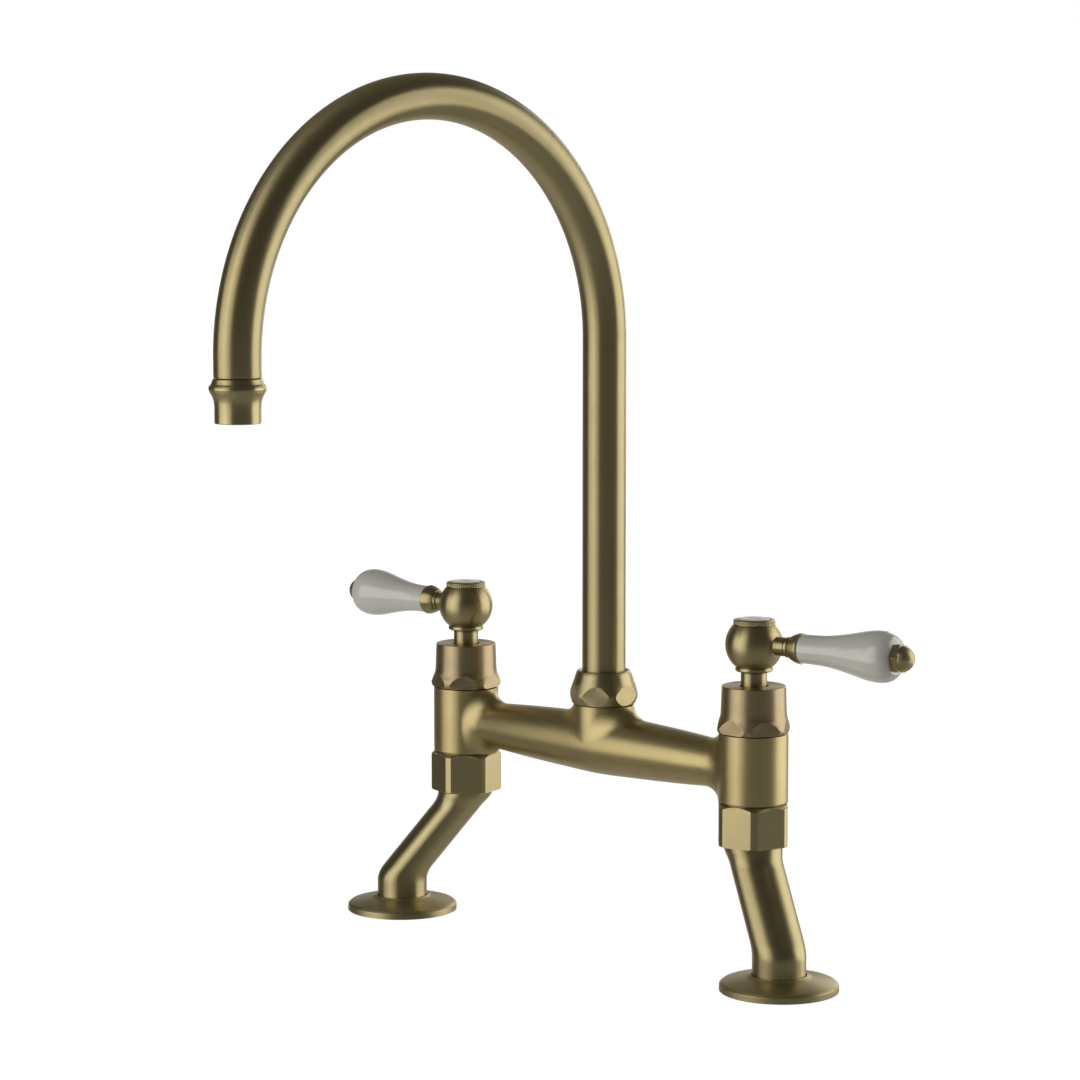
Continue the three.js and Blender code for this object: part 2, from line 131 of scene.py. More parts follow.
def brushed_brass(name, colour, patina, rough=0.3, aniso=0.45, cast=False):
    """Satin brass. The brush vector's x runs along the turned profile in mm
    and its y and z lie across the axis, so x-stretched noise gives the lines
    that a brush leaves round a turned piece."""
    m, t, b = new_material(name)
    brush = attribute(t, "brush").outputs["Vector"]
    fine = noise(t, brush, (5.5, 0.16, 0.16), 3.0, 0.6)
    line = noise(t, brush, (1.7, 0.06, 0.06), 2.0, 0.5)
    if cast:
        across = attribute(t, "brush2").outputs["Vector"]
        weight = attribute(t, "turned").outputs["Fac"]
        fine2 = noise(t, across, (5.5, 0.16, 0.16), 3.0, 0.6)
        line2 = noise(t, across, (1.7, 0.06, 0.06), 2.0, 0.5)

        def blend(a, c):
            n = node(t, "ShaderNodeMix", data_type="FLOAT")
            t.links.new(weight, n.inputs[0])
            t.links.new(a, n.inputs[2])
            t.links.new(c, n.inputs[3])
            return n.outputs[0]

        fine, line = blend(fine, fine2), blend(line, line2)
    where = node(t, "ShaderNodeTexCoord").outputs["Object"]
    cloud = noise(t, where, (38.0, 38.0, 38.0), 3.0, 0.55)
    grain = noise(t, where, (2600.0, 2600.0, 2600.0), 1.0, 0.5)
    edge = attribute(t, "edge").outputs["Fac"]

    # tone: slow clouds of patina, fine brush lines, dark hollows, and a painted highlight on the rims
    tone = math_node(t, "MULTIPLY", cloud, 0.6)
    tone = math_node(t, "ADD", tone, math_node(t, "MULTIPLY", line, 0.2))
    tone = math_node(t, "ADD", tone, math_node(t, "MULTIPLY", fine, 0.2))
    tone = mapped(t, tone, 0.34, 0.66, 0.0, 1.0)
    base = mixed(t, tone, patina, colour)
    hollow = mapped(t, edge, -0.5, -0.05, 0.85, 0.0)
    base = mixed(t, hollow, base, tuple(0.42 * c for c in patina))
    # painted highlight: the base colour is made brighter on convex rims; the lower roughness there, below, is their
    # real polish
    rim = mapped(t, edge, 0.1, 0.8, 0.0, 0.55)
    base = mixed(t, rim, base, tuple(min(1, 1.18 * c) for c in colour))
    t.links.new(base, b.inputs["Base Color"])

    r = math_node(t, "ADD", math_node(t, "MULTIPLY", line, 0.6), math_node(t, "MULTIPLY", fine, 0.4))
    r = mapped(t, r, 0.3, 0.7, rough - 0.045, rough + 0.055)
    r = math_node(t, "SUBTRACT", r, math_node(t, "MULTIPLY", rim, 0.12))
    t.links.new(r, b.inputs["Roughness"])
    b.inputs["Metallic"].default_value = 1.0
    if aniso and not cast:
        b.inputs["Anisotropic"].default_value = aniso
        tangent = node(t, "ShaderNodeTangent", direction_type="UV_MAP", uv_map="UVMap")
        t.links.new(tangent.outputs[0], b.inputs["Tangent"])

    height = math_node(t, "ADD", math_node(t, "MULTIPLY", fine, 0.55), math_node(t, "MULTIPLY", grain, 0.2))
    height = math_node(t, "ADD", height, math_node(t, "MULTIPLY", line, 0.25))
    bump = node(t, "ShaderNodeBump")
    bump.inputs["Strength"].default_value = 0.4 if cast else 0.22
    bump.inputs["Distance"].default_value = 0.00001
    t.links.new(height, bump.inputs["Height"])
    t.links.new(bump.outputs[0], b.inputs["Normal"])
    return m


def plain(name, colour, second, rough, spread=0.05, metal=0.0, scale=120.0, bump=0.0, coat=0.0):
    """A cast or moulded surface: two close tones in soft clouds, with a grain."""
    m, t, b = new_material(name)
    where = node(t, "ShaderNodeTexCoord").outputs["Object"]
    cloud = noise(t, where, (scale,) * 3, 3.0, 0.55)
    grain = noise(t, where, (scale * 18,) * 3, 2.0, 0.55)
    base = mixed(t, mapped(t, cloud, 0.35, 0.65, 0.0, 1.0), colour, second)
    t.links.new(base, b.inputs["Base Color"])
    r = mapped(t, grain, 0.3, 0.7, max(0.02, rough - spread), rough + spread)
    t.links.new(r, b.inputs["Roughness"])
    b.inputs["Metallic"].default_value = metal
    if coat:
        b.inputs["Coat Weight"].default_value = coat
        b.inputs["Coat Roughness"].default_value = 0.13
    if bump:
        n = node(t, "ShaderNodeBump")
        n.inputs["Strength"].default_value = bump
        n.inputs["Distance"].default_value = 0.00004
        t.links.new(grain, n.inputs["Height"])
        t.links.new(n.outputs[0], b.inputs["Normal"])
    return m


BRASS = (0.49, 0.41, 0.212)
BRASS_DARK = (0.44, 0.365, 0.186)
CAST = (0.53, 0.43, 0.205)
CAST_DARK = (0.455, 0.366, 0.172)
BRONZE = (0.47, 0.366, 0.207)
BRONZE_DARK = (0.42, 0.325, 0.18)
brass = brushed_brass("satin_brass", BRASS, BRASS_DARK, rough=0.355, aniso=0.65)
brass_tube = brushed_brass("satin_brass_tube", BRASS, BRASS_DARK, rough=0.39, aniso=0.8)
brass_flange = brushed_brass("satin_brass_flange", BRASS, BRASS_DARK, rough=0.45, aniso=0.5)
brass_cast = brushed_brass("satin_brass_cast", CAST, CAST_DARK, rough=0.35, cast=True)
bronze = brushed_brass("satin_bronze", BRONZE, BRONZE_DARK, rough=0.375, aniso=0.55)
porcelain = plain("porcelain", (0.83, 0.808, 0.71), (0.85, 0.828, 0.73), 0.2, 0.02, scale=60.0, bump=0.03, coat=1.0)
alumina = plain("alumina", (0.80, 0.79, 0.76), (0.86, 0.85, 0.82), 0.35, scale=300.0, bump=0.1)
raw_brass = plain("machined_brass", (0.72, 0.57, 0.30), (0.62, 0.49, 0.25), 0.38, metal=1.0, scale=150.0, bump=0.15)
rubber = plain("rubber", (0.018, 0.018, 0.018), (0.03, 0.03, 0.029), 0.72, scale=200.0, bump=0.5)
fibre = plain("fibre", (0.22, 0.05, 0.035), (0.29, 0.075, 0.05), 0.85, scale=500.0, bump=0.6)
nylon = plain("nylon", (0.76, 0.74, 0.69), (0.70, 0.68, 0.63), 0.45, scale=150.0, bump=0.15)
steel = plain("steel", (0.60, 0.60, 0.61), (0.52, 0.52, 0.53), 0.32, metal=1.0, scale=300.0, bump=0.15)
ink = plain("printed_ink", (0.012, 0.012, 0.013), (0.02, 0.02, 0.02), 0.5, scale=800.0)


# ---------------------------------------------------------------- geometry
def rounded(points, closed, step=11.0):
    """[(r, z) or (r, z, fillet)] with an arc of that radius in each corner."""
    n = len(points)
    P = [np.array(p[:2], float) for p in points]
    F = [p[2] if len(p) > 2 else 0.0 for p in points]
    out = []
    for i in range(n):
        if F[i] <= 0 or (not closed and i in (0, n - 1)):
            out.append(P[i])
            continue
        a, c = P[i - 1] - P[i], P[(i + 1) % n] - P[i]
        la, lc = np.linalg.norm(a), np.linalg.norm(c)
        a, c = a / la, c / lc
        phi = math.acos(max(-1, min(1, float(a @ c))))
        if phi > math.pi - 0.03:
            out.append(P[i])
            continue
        t = F[i] / math.tan(phi / 2)
        t = min(t, 0.48 * la, 0.48 * lc)
        f = t * math.tan(phi / 2)
        centre = P[i] + (a + c) / np.linalg.norm(a + c) * (f / math.sin(phi / 2))
        s, e = P[i] + a * t - centre, P[i] + c * t - centre
        turn = math.pi - phi
        k = max(2, math.ceil(math.degrees(turn) / step))
        sign = 1.0 if s[0] * e[1] - s[1] * e[0] > 0 else -1.0
        more = min(0.05, 0.2 * f + 0.01)
        if la > 2.2 * (t + more):
            out.append(P[i] + a * (t + more))
        for j in range(k + 1):
            w = sign * turn * j / k
            out.append(centre + np.array([s[0] * math.cos(w) - s[1] * math.sin(w), s[0] * math.sin(w) + s[1] * math.cos(w)]))
        if lc > 2.2 * (t + more):
            out.append(P[i] + c * (t + more))
    return np.array(out)


def spline(points, spacing=0.4):
    """Natural cubic curve through points, by chord length."""
    P = np.array(points, float)
    d = np.linalg.norm(np.diff(P, axis=0), axis=1)
    s = np.concatenate([[0], np.cumsum(d)])
    n = len(s)
    A, B = np.zeros((n, n)), np.zeros((n, P.shape[1]))
    A[0, 0] = A[-1, -1] = 1
    for i in range(1, n - 1):
        A[i, i - 1], A[i, i], A[i, i + 1] = d[i - 1], 2 * (d[i - 1] + d[i]), d[i]
        B[i] = 6 * ((P[i + 1] - P[i]) / d[i] - (P[i] - P[i - 1]) / d[i - 1])
    M = np.linalg.solve(A, B)
    t = np.linspace(0, s[-1], max(2, int(s[-1] / spacing)) + 1)
    i = np.clip(np.searchsorted(s, t, side="right") - 1, 0, n - 2)
    h = d[i][:, None]
    u, v = (s[i + 1] - t)[:, None], (t - s[i])[:, None]
    return M[i] * u**3 / (6 * h) + M[i + 1] * v**3 / (6 * h) + (P[i] / h - M[i] * h / 6) * u + (P[i + 1] / h - M[i + 1] * h / 6) * v


def graded(profile, longest):
    """Splits long straight stretches, so shading and brushing stay even."""
    out = [profile[0]]
    for a, c in zip(profile[:-1], profile[1:]):
        k = max(1, math.ceil(np.linalg.norm(c - a) / longest))
        out += [a + (c - a) * j / k for j in range(1, k + 1)]
    return np.array(out)


def bend_of(profile, closed, window=0.45):
    """How much the profile turns near each point: + on a rim, - in a hollow."""
    P = profile
    area = 0.5 * np.sum(P[:, 0] * np.roll(P[:, 1], -1) - np.roll(P[:, 0], -1) * P[:, 1])
    prev, nxt = np.roll(P, 1, 0), np.roll(P, -1, 0)
    a, c = P - prev, nxt - P
    turn = np.arctan2(a[:, 0] * c[:, 1] - a[:, 1] * c[:, 0], np.sum(a * c, 1)) * np.sign(area)
    if not closed:
        turn[0] = turn[-1] = 0
    s = np.concatenate([[0], np.cumsum(np.linalg.norm(np.diff(P, axis=0), axis=1))])
    near = np.abs(s[:, None] - s[None, :])
    return (np.clip(1 - near / window, 0, 1) * turn[None, :]).sum(1) / (math.pi / 2)


def smooth_min(a, c, k):
    h = np.clip(1 - np.abs(a - c) / k, 0, 1)
    return np.minimum(a, c) - h * h * k * 0.25, h


def flat_angles(r, d, per=(9, 4, 8)):
    """Angles of the columns in one 60 degree sector for one ring of radius r,
    packed round the place where a flat at distance d meets the turned form."""
    edge = math.acos(min(1.0, d / r)) if r > d else 0.0
    w = 0.011
    lo, hi = max(edge - w, 0.004), max(edge + w, 0.012)
    half = np.concatenate([
        np.linspace(0, lo, per[0], endpoint=False),
        np.linspace(lo, hi, per[1], endpoint=False),
        np.linspace(hi, math.pi / 6, per[2], endpoint=False),
    ])
    return np.concatenate([half, [math.pi / 6], (math.pi / 3 - half[1:])[::-1]])


class Builder:
    """Collects closed shells for one mesh, in mm about the riser."""

    def __init__(self):
        self.v, self.f, self.uv, self.brush, self.brush2, self.turned, self.edge, self.sharp = [], [], [], [], [], [], [], []
        self.count = 0

    def add(self, verts, faces, uvs, brush, edge, brush2=None, turned=None):
        self.v.append(verts)
        self.f += [tuple(int(i) + self.count for i in f) for f in faces]
        self.uv += uvs
        self.brush.append(brush)
        self.brush2.append(brush if brush2 is None else brush2)
        self.turned.append(np.zeros(len(verts)) if turned is None else turned)
        self.edge.append(edge)
        self.count += len(verts)

    def revolve(self, profile, segments=128, closed=True, matrix=None, flats=None, knurl=None, offset=None, start=0.0):
        """Turns [r, z] rows about Z. flats=(distance, face angle in degrees,
        rounding), knurl=function(theta, z, r) -> r, offset=function(z) -> the
        centre of each section."""
        P = np.array(profile, float)
        keep = np.concatenate([[True], np.linalg.norm(np.diff(P, axis=0), axis=1) > 1e-4])
        P = P[keep]
        if closed and np.linalg.norm(P[0] - P[-1]) < 1e-4:
            P = P[:-1]
        n = len(P)
        s = np.concatenate([[0], np.cumsum(np.linalg.norm(np.diff(P, axis=0), axis=1))])
        bend = bend_of(P, closed)
        rings, edges, thetas = [], [], []
        for i in range(n):
            r, z = P[i]
            if flats:
                d, face, k = flats[:3]
                sector = flat_angles(max(r, 1e-3), d)
                th = np.concatenate([sector + math.pi / 3 * q for q in range(6)])
                local = (th + math.pi / 6) % (math.pi / 3) - math.pi / 6
                rr, h = smooth_min(np.full(len(th), r), d / np.cos(local), k)
                if r < d - 1.0:
                    rr, h = np.full(len(th), r), np.zeros(len(th))
                th = th + math.radians(face)
                # where a flat meets the turned form the edge value is raised, which brightens the colour there: a
                # painted highlight line
                e = np.full(len(th), bend[i]) + 0.5 * h * (r > d)
            else:
                th = np.arange(segments) * TAU / segments + start
                rr = np.full(segments, r)
                e = np.full(segments, bend[i])
                if knurl:
                    rr, groove = knurl(th, z, rr)
                    e = e - groove
            cx, cy = offset(z) if offset else (0.0, 0.0)
            rings.append(np.stack([cx + rr * np.cos(th), cy + rr * np.sin(th), np.full(len(th), z)], 1))
            edges.append(e)
            thetas.append(th)
        m = len(rings[0])
        V = np.array(rings)
        E = np.array(edges)
        poles = {i for i in (0, n - 1) if not closed and P[i, 0] < 1e-6}
        index = -np.ones((n, m), int)
        flat, ed, br, at = [], [], [], 0
        for i in range(n):
            if i in poles:
                index[i] = at
                flat.append(V[i, 0])
                ed.append(E[i, 0])
                br.append((s[i], 0.0, 0.0))
                at += 1
            else:
                index[i] = np.arange(at, at + m)
                flat += list(V[i])
                ed += list(E[i])
                c, sn = np.cos(thetas[i]), np.sin(thetas[i])
                rad = max(P[i, 0], 2.0)
                br += list(np.stack([np.full(m, s[i]), rad * c, rad * sn], 1))
                at += m
        faces, uvs = [], []
        total = s[-1] + (np.linalg.norm(P[0] - P[-1]) if closed else 0)
        for i in range(n if closed else n - 1):
            i2 = (i + 1) % n
            u1, u2 = s[i] / 60.0, (s[i2] if i2 else total) / 60.0
            for j in range(m):
                j2 = (j + 1) % m
                q = [index[i, j], index[i, j2], index[i2, j2], index[i2, j]]
                w = [(u1, j / m), (u1, (j + 1) / m), (u2, (j + 1) / m), (u2, j / m)]
                if q[0] == q[1]:
                    q, w = [q[0], q[2], q[3]], [(u1, (j + 0.5) / m), w[2], w[3]]
                elif q[2] == q[3]:
                    q, w = [q[0], q[1], q[2]], [w[0], w[1], (u2, (j + 0.5) / m)]
                faces.append(q)
                uvs.append(w)
        verts = np.array(flat)
        # faces outward: signed volume of the shell
        tri = np.array([(f[0], f[k], f[k + 1]) for f in faces for k in range(1, len(f) - 1)])
        vol = np.einsum("ij,ij->", verts[tri[:, 0]], np.cross(verts[tri[:, 1]], verts[tri[:, 2]]))
        if vol < 0:
            faces = [f[::-1] for f in faces]
            uvs = [w[::-1] for w in uvs]
        if matrix is not None:
            verts = verts @ matrix[:3, :3].T + matrix[:3, 3]
        self.add(verts, faces, uvs, np.array(br), np.array(ed))
        return self

    def make(self, name, material, body, nodes=(), slot=None, sharp=32.0, normals=None):
        mesh = bpy.data.meshes.new(name)
        verts = (np.concatenate(self.v) + RISER) * 0.001
        mesh.from_pydata(verts.tolist(), [], self.f)
        layer = mesh.uv_layers.new(name="UVMap")
        layer.data.foreach_set("uv", np.array([c for w in self.uv for c in w], np.float32).ravel())
        for label, data in (("brush", self.brush), ("brush2", self.brush2)):
            if label == "brush2" and material is not brass_cast:
                continue
            a = mesh.attributes.new(label, "FLOAT_VECTOR", "POINT")
            a.data.foreach_set("vector", np.concatenate(data).astype(np.float32).ravel())
        for label, data in (("edge", self.edge), ("turned", self.turned)):
            if label == "turned" and material is not brass_cast:
                continue
            a = mesh.attributes.new(label, "FLOAT", "POINT")
            a.data.foreach_set("value", np.concatenate(data).astype(np.float32))
        mesh.update()
        mesh.shade_smooth()
        mesh.set_sharp_from_angle(angle=math.radians(sharp))
        if normals is not None:
            mesh.normals_split_custom_set(normals)
        o = bpy.data.objects.new(name, mesh)
        bpy.context.scene.collection.objects.link(o)
        mesh.materials.append(material)
        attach(o, body)
        if nodes:
            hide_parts(*nodes)
        return o


def at(x=0.0, y=0.0, z=0.0, turn=0.0):
    c, s = math.cos(math.radians(turn)), math.sin(math.radians(turn))
    return np.array([[c, -s, 0, x], [s, c, 0, y], [0, 0, 1, z], [0, 0, 0, 1]], float)


def lever_matrix(side, deg):
    """Takes a shape turned about Z to the lever's axis, Z along the lever."""
    c, s = math.cos(math.radians(deg)), math.sin(math.radians(deg))
    m = np.eye(4)
    m[:3, 2] = (c, s, 0)  # local z: outwards
    m[:3, 0] = (0, 0, -1)  # local x: down
    m[:3, 1] = np.cross(m[:3, 2], m[:3, 0])
    m[:3, 3] = (side * PILLAR_X, 0, LEVER_Z)
    return m


# ------------------------------------------------------------------ bridge
ARM = np.array([(0, 15.4), (18, 14.9), (35, 14.2), (50, 13.5), (64, 12.65), (75, 11.9), (82, 11.5), (90, 11.3), (101.5, 11.2)])
arm_curve = spline(np.concatenate([ARM[:0:-1] * (-1, 1), ARM]), 0.5)
PILLAR_R, NECK_R = 17.0, 15.25
PILLAR_FILLET, NECK_FILLET = 12.0, 12.7


def arm_radius(x):
    return np.interp(x, arm_curve[:, 0], arm_curve[:, 1])


def arm_slope(x):
    return (arm_radius(x + 0.25) - arm_radius(x - 0.25)) / 0.5


def blended(a, na, c, nc, radius):
    """Union of two distances with the fillet that a ball of that radius leaves."""
    cosine = np.clip(np.sum(na * nc, 1), -0.999, 0.9999)
    s2 = 1 - cosine * cosine
    u, v = radius - a, radius - c
    p, q = (u - v * cosine) / s2, (v - u * cosine) / s2
    w = np.sqrt(np.maximum(p * p + q * q + 2 * p * q * cosine, 0))
    return np.where((p > 0) & (q > 0), radius - w, np.minimum(a, c))


def bridge_distance(p):
    x, y, z = p[:, 0], p[:, 1], p[:, 2] - BRIDGE_Z
    rho = np.maximum(np.hypot(y, z), 1e-6)
    slope = arm_slope(x)
    scale = 1 / np.sqrt(1 + slope**2)
    a = np.maximum((rho - arm_radius(x)) * scale, np.abs(x) - PILLAR_X)
    na = np.stack([-slope * scale, y / rho * scale, z / rho * scale], 1)
    side = np.where(x < 0, -PILLAR_X, PILLAR_X)
    hp = np.maximum(np.hypot(x - side, y), 1e-6)
    c = hp - PILLAR_R
    nc = np.stack([(x - side) / hp, y / hp, np.zeros_like(x)], 1)
    hn = np.maximum(np.hypot(x, y), 1e-6)
    e = np.maximum(hn - NECK_R, -z)
    ne = np.stack([x / hn, y / hn, np.zeros_like(x)], 1)
    return np.where(np.abs(x) > 60, blended(a, na, c, nc, PILLAR_FILLET), blended(a, na, e, ne, NECK_FILLET))


def bridge_gradient(p, h=0.02):
    g = np.zeros_like(p)
    for i in range(3):
        q = np.zeros(3)
        q[i] = h
        g[:, i] = bridge_distance(p + q) - bridge_distance(p - q)
    return g / (2 * h)


def surface_net(lo, hi, step):
    """Quads on the zero level of the bridge's distance."""
    n = np.ceil((hi - lo) / step).astype(int) + 1
    ax = [lo[i] + step * np.arange(n[i]) for i in range(3)]
    gx, gy, gz = np.meshgrid(*ax, indexing="ij")
    val = bridge_distance(np.stack([gx.ravel(), gy.ravel(), gz.ravel()], 1)).reshape(n)
    inside = val < 0
    cells = np.zeros(n - 1, int)
    for i in (0, 1):
        for j in (0, 1):
            for k in (0, 1):
                cells += inside[i : n[0] - 1 + i, j : n[1] - 1 + j, k : n[2] - 1 + k]
    mixed_cells = (cells > 0) & (cells < 8)
    index = -np.ones(n - 1, int)
    index[mixed_cells] = np.arange(mixed_cells.sum())
    at_ = np.argwhere(mixed_cells)
    verts = lo + (at_ + 0.5) * step
    quads = []
    for axis in range(3):
        o1, o2 = (axis + 1) % 3, (axis + 2) % 3
        sl0, sl1 = [slice(None)] * 3, [slice(None)] * 3
        sl0[axis], sl1[axis] = slice(0, -1), slice(1, None)
        change = inside[tuple(sl0)] != inside[tuple(sl1)]
        for idx in np.argwhere(change):
            if idx[o1] == 0 or idx[o2] == 0 or idx[o1] >= n[o1] - 1 or idx[o2] >= n[o2] - 1:
                continue
            a = idx.copy()
            b_ = idx.copy()
            b_[o1] -= 1
            c = b_.copy()
            c[o2] -= 1
            d = idx.copy()
            d[o2] -= 1
            q = [index[tuple(t)] for t in (a, b_, c, d)]
            if inside[tuple(idx)]:
                q = q[::-1]
            quads.append(q[::-1])
    return verts, quads


def on_surface(p, rounds=8):
    for _ in range(rounds):
        g = bridge_gradient(p)
        gg = np.maximum(np.sum(g * g, 1), 0.05)
        p = p - g * (bridge_distance(p) / gg)[:, None] * 0.95
    return p


def relaxed(p, quads, rounds=6):
    """Evens out the quads by sliding points along the surface."""
    q = np.array(quads)
    e = np.concatenate([q[:, [0, 1]], q[:, [1, 2]], q[:, [2, 3]], q[:, [3, 0]]])
    for _ in range(rounds):
        total, count = np.zeros_like(p), np.zeros(len(p))
        np.add.at(total, e[:, 0], p[e[:, 1]])
        np.add.at(total, e[:, 1], p[e[:, 0]])
        np.add.at(count, e[:, 0], 1)
        np.add.at(count, e[:, 1], 1)
        move = total / np.maximum(count, 1)[:, None] - p
        g = bridge_gradient(p)
        g /= np.maximum(np.linalg.norm(g, axis=1), 1e-9)[:, None]
        p = p + 0.5 * (move - g * np.sum(move * g, 1)[:, None])
        p = on_surface(p, 2)
    return p


RIMS = [  # z of the rim, which way is out, region, fillet
    (119.7, 1, lambda p: abs(p.x) > 60, 0.35),
    (85.6, -1, lambda p: abs(p.x) > 60, 0.9),
    (122.2, 1, lambda p: abs(p.x) < 60, 0.25),
]


def make_bridge():
    # a cell edge that misses the rims' planes, so no vertex lies on them
    lo = np.array([-119.63, -18.47, 83.03])
    hi = np.array([119.63, 18.47, 124.6])
    step = 0.62
    p, quads = surface_net(lo, hi, step)
    p = relaxed(on_surface(p), quads)
    bm = bmesh.new()
    vs = [bm.verts.new(v) for v in p]
    for q in quads:
        bm.faces.new([vs[i] for i in q])
    levels = {}
    for z, way, region, fillet in RIMS:
        for depth in (fillet + 0.05, fillet, fillet * 0.62, fillet * 0.3, fillet * 0.08, 0.0):
            geom = [f for f in bm.faces if region(f.calc_center_median())]
            es = {e for f in geom for e in f.edges}
            vv = {v for f in geom for v in f.verts}
            plane = z - way * depth
            r = bmesh.ops.bisect_plane(
                bm, geom=[*vv, *es, *geom], dist=1e-5, plane_co=(0, 0, plane), plane_no=(0, 0, way),
                clear_outer=depth == 0.0,
            )
            for g in r["geom_cut"]:
                if isinstance(g, bmesh.types.BMVert):
                    levels[g] = (z, way, depth, fillet)
    bm.verts.ensure_lookup_table()
    levels = {v: k for v, k in levels.items() if v.is_valid}
    for v in bm.verts:
        v.index = -1
    bm.verts.index_update()
    p = np.array([v.co for v in bm.verts])
    # new points of a cut lie on chords: put them back, keeping their height
    cut = np.array([v.index for v in levels], int)
    for _ in range(5):
        g = bridge_gradient(p[cut])
        g[:, 2] = 0
        gg = np.maximum(np.sum(g * g, 1), 0.05)
        p[cut] -= g * (bridge_distance(p[cut]) / gg)[:, None]
    normal = bridge_gradient(p)
    normal /= np.linalg.norm(normal, axis=1)[:, None]
    edge = np.zeros(len(p))
    for v, (z, way, depth, fillet) in levels.items():
        i = v.index
        if depth > fillet:
            continue
        flat = normal[i] * (1, 1, 0)
        flat /= np.linalg.norm(flat)
        rest = fillet - depth
        p[i] -= flat * (fillet - math.sqrt(max(fillet**2 - rest**2, 0)))
        up = rest / fillet
        normal[i] = flat * math.sqrt(1 - up * up) + np.array([0, 0, way * up])
        # the rim's fillet band gets a positive edge value, which brightens its colour: a painted highlight along the
        # rim
        edge[i] = 0.75 * math.sin(math.pi * min(1, 0.2 + 0.8 * up) * 0.75)
    for v in bm.verts:
        v.co = p[v.index]
    shown = len(bm.faces)
    rim = [e for e in bm.edges if e.is_boundary]
    bmesh.ops.holes_fill(bm, edges=rim, sides=0)
    bm.faces.ensure_lookup_table()
    faces = [[v.index for v in f.verts] for f in bm.faces]
    caps = {i for i, f in enumerate(bm.faces) if len(f.verts) > 20}
    way_of = {i: (1 if np.mean([p[j][2] for j in faces[i]]) > 100 else -1) for i in caps}
    for i in caps:  # caps face out
        q = p[faces[i]]
        area = np.cross(q - q.mean(0), np.roll(q, -1, 0) - q.mean(0)).sum(0)[2]
        if area * way_of[i] < 0:
            faces[i] = faces[i][::-1]
    bm.free()
    near_pillar = np.abs(np.abs(p[:, 0]) - PILLAR_X)
    side = np.where(p[:, 0] < 0, -PILLAR_X, PILLAR_X)
    arm_brush = np.stack([p[:, 0], p[:, 1], p[:, 2] - BRIDGE_Z], 1)
    pillar = np.abs(p[:, 0]) > 60
    pillar_brush = np.stack([p[:, 2], np.where(pillar, p[:, 0] - side, p[:, 0]), p[:, 1]], 1)
    to_pillar = 1 - np.clip((np.hypot(p[:, 0] - side, p[:, 1]) - PILLAR_R - 0.5) / 4.0, 0, 1)
    to_neck = np.clip((p[:, 2] - 117.0) / 4.0, 0, 1)
    turned = np.where(pillar, to_pillar, to_neck)
    b = Builder()
    uvs = [[(float(p[i][0]) / 60, math.atan2(p[i][2] - BRIDGE_Z, p[i][1]) / TAU) for i in f] for f in faces]
    b.add(p, faces, uvs, arm_brush, edge, pillar_brush, turned)
    loops = []
    for i, f in enumerate(faces):
        for j in f:
            loops.append((0.0, 0.0, float(way_of[i])) if i in caps else tuple(normal[j]))
    count = len(p)
    # threaded spigots, their bores, and the boss under the spout's collar
    for s in (-1, 1):
        b.revolve(rounded([(15.4, 76.0, 0.4), (15.4, 85.5), (9.0, 85.5), (9.0, 76.0, 0.3)], True), 64, matrix=at(s * PILLAR_X))
    b.revolve(rounded([(13.2, 122.1), (13.2, 127.5, 0.4), (9.1, 127.5, 0.3), (9.1, 122.1)], True), 64)
    # the added shells are smooth or sharp by their own angles
    for f in b.f[len(faces):]:
        for j in f:
            loops.append((0.0, 0.0, 0.0))
    b.make("bridge_casting", brass_cast, fixed_body, ["bridge_body"], "brass", normals=loops)


make_bridge()


